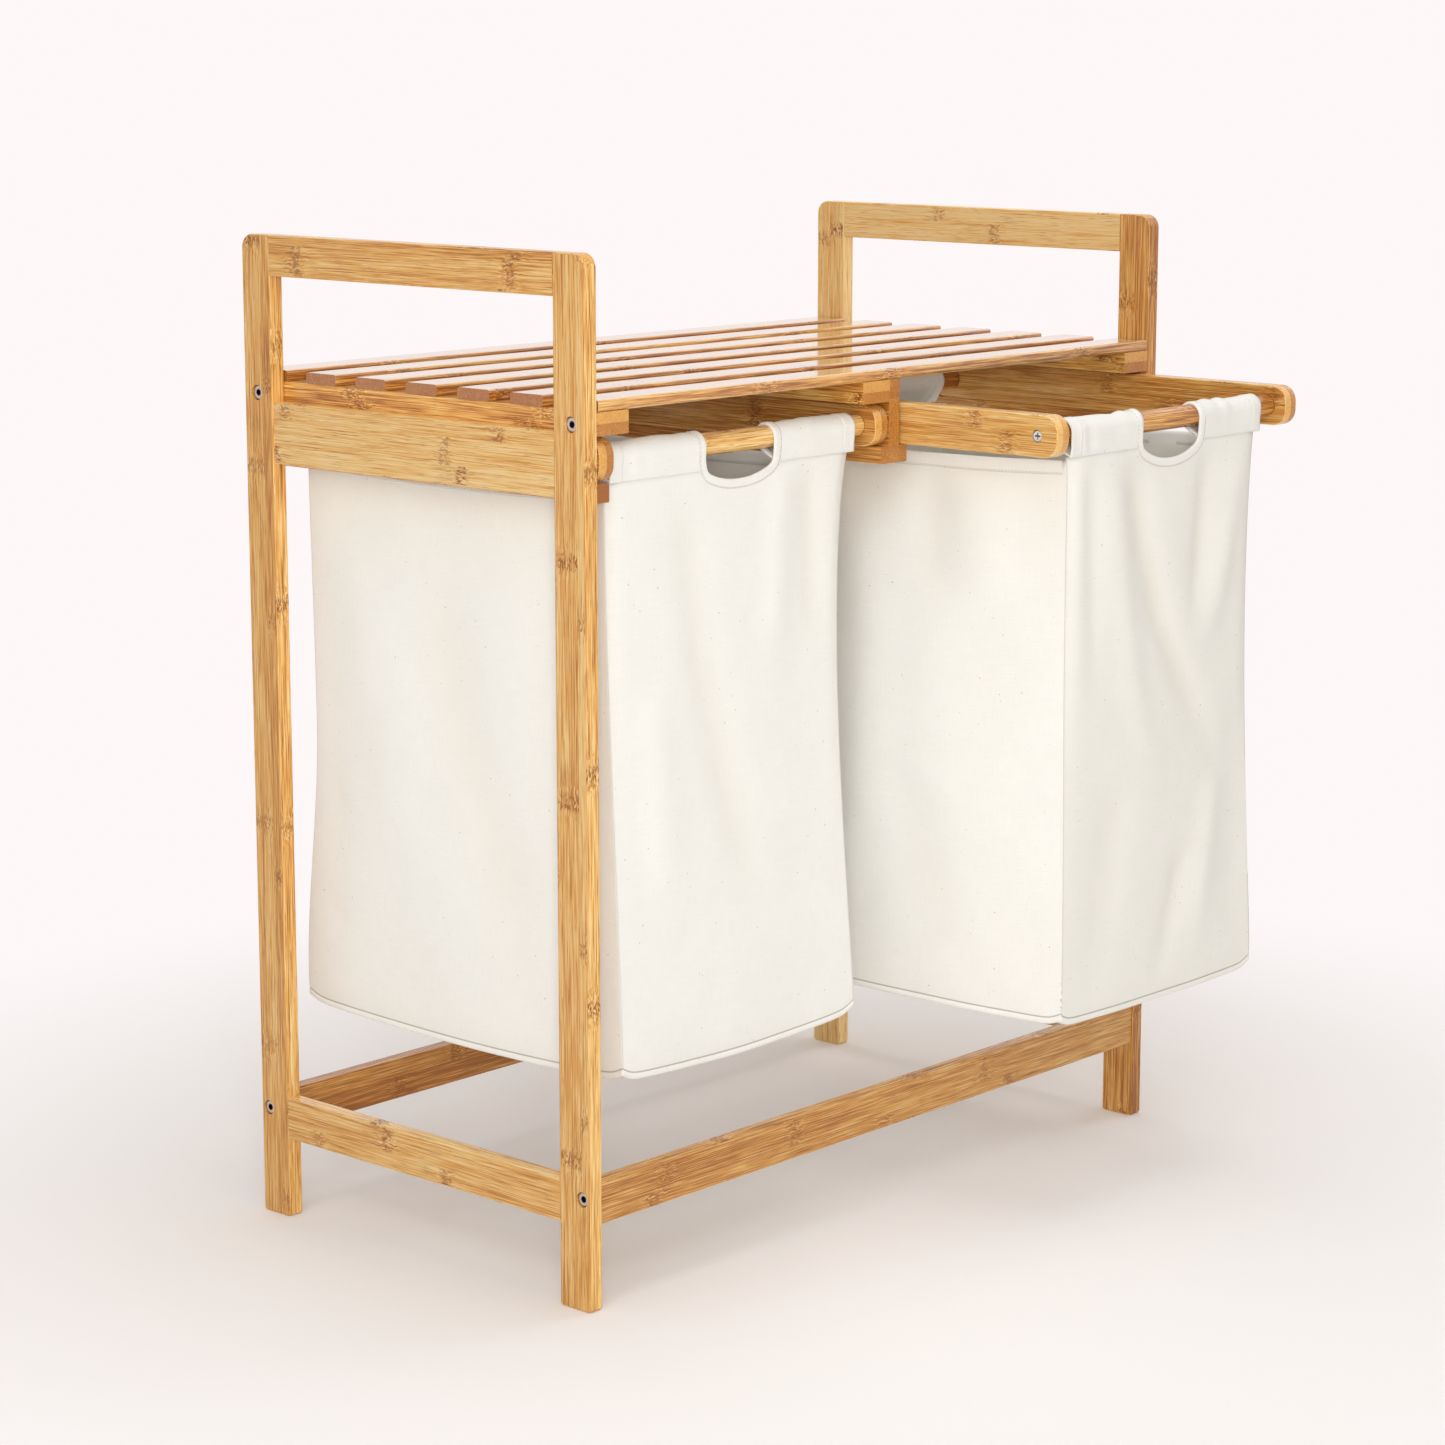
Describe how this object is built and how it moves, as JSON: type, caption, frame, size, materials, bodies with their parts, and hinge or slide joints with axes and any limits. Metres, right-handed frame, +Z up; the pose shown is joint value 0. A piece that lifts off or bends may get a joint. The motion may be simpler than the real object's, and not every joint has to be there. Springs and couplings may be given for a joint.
{
  "type": "laundry stand with pull-out bags",
  "caption": "Free-standing bamboo laundry stand: slatted shelf, side frames with carrying handles, and canvas bags on carriers that slide out to the front.",
  "frame": {"origin": "on the floor, under the middle of the whole object's box, with the left carrier pushed in and the right one drawn out 140 mm; the frame's own middle lies 70 mm behind it", "axes": "+Z up, +X to the right seen from the front, -Y towards the front, where the bags pull out"},
  "size_m": [0.64, 0.48, 0.725],
  "materials": {
    "bamboo": "satin lacquered laminated bamboo",
    "pin_wood": "plain hardwood pins",
    "canvas": "unbleached cotton canvas, plain weave",
    "bolt_steel": "nickel plated hex-socket bolts",
    "zinc_steel": "zinc plated screws and inserts"
  },
  "bodies": {
    "frame": {"board_screws": "zinc_steel", "centre_board": "bamboo", "frame_bolts": "bolt_steel", "front_stretcher": "bamboo", "ledger_pins": "pin_wood", "left_apron": "bamboo", "left_centre_ledger": "bamboo", "left_frame_pins": "pin_wood", "left_front_post": "bamboo", "left_handle_rail": "bamboo", "left_lower_rail": "bamboo", "left_rear_post": "bamboo", "left_shelf_batten": "bamboo", "left_side_ledger": "bamboo", "middle_shelf_batten": "bamboo", "rear_stretcher": "bamboo", "right_apron": "bamboo", "right_centre_ledger": "bamboo", "right_frame_pins": "pin_wood", "right_front_post": "bamboo", "right_handle_rail": "bamboo", "right_lower_rail": "bamboo", "right_rear_post": "bamboo", "right_shelf_batten": "bamboo", "right_side_ledger": "bamboo", "shelf_slat_1": "bamboo", "shelf_slat_2": "bamboo", "shelf_slat_3": "bamboo", "shelf_slat_4": "bamboo", "shelf_slat_5": "bamboo", "shelf_slat_6": "bamboo", "shelf_slat_7": "bamboo", "slat_screws": "zinc_steel", "stretcher_pins": "pin_wood", "threaded_inserts": "zinc_steel"},
    "left_carrier": {"left_bag_bottom": "canvas", "left_bag_front_panel": "canvas", "left_bag_front_sleeves": "canvas", "left_bag_left_panel": "canvas", "left_bag_rear_panel": "canvas", "left_bag_rear_sleeves": "canvas", "left_bag_right_panel": "canvas", "left_carrier_front_dowel": "bamboo", "left_carrier_left_rail": "bamboo", "left_carrier_rear_dowel": "bamboo", "left_carrier_right_rail": "bamboo", "left_carrier_screws": "zinc_steel"},
    "right_carrier": {"right_bag_bottom": "canvas", "right_bag_front_panel": "canvas", "right_bag_front_sleeves": "canvas", "right_bag_left_panel": "canvas", "right_bag_rear_panel": "canvas", "right_bag_rear_sleeves": "canvas", "right_bag_right_panel": "canvas", "right_carrier_front_dowel": "bamboo", "right_carrier_left_rail": "bamboo", "right_carrier_rear_dowel": "bamboo", "right_carrier_right_rail": "bamboo", "right_carrier_screws": "zinc_steel"}
  },
  "joints": [
    {"name": "left_carrier_slide", "type": "slide", "parent": "frame", "child": "left_carrier", "axis": [0, -1, 0], "range_m": [0, 0.22]},
    {"name": "right_carrier_slide", "type": "slide", "parent": "frame", "child": "right_carrier", "axis": [0, -1, 0], "range_m": [-0.14, 0.08]}
  ]
}
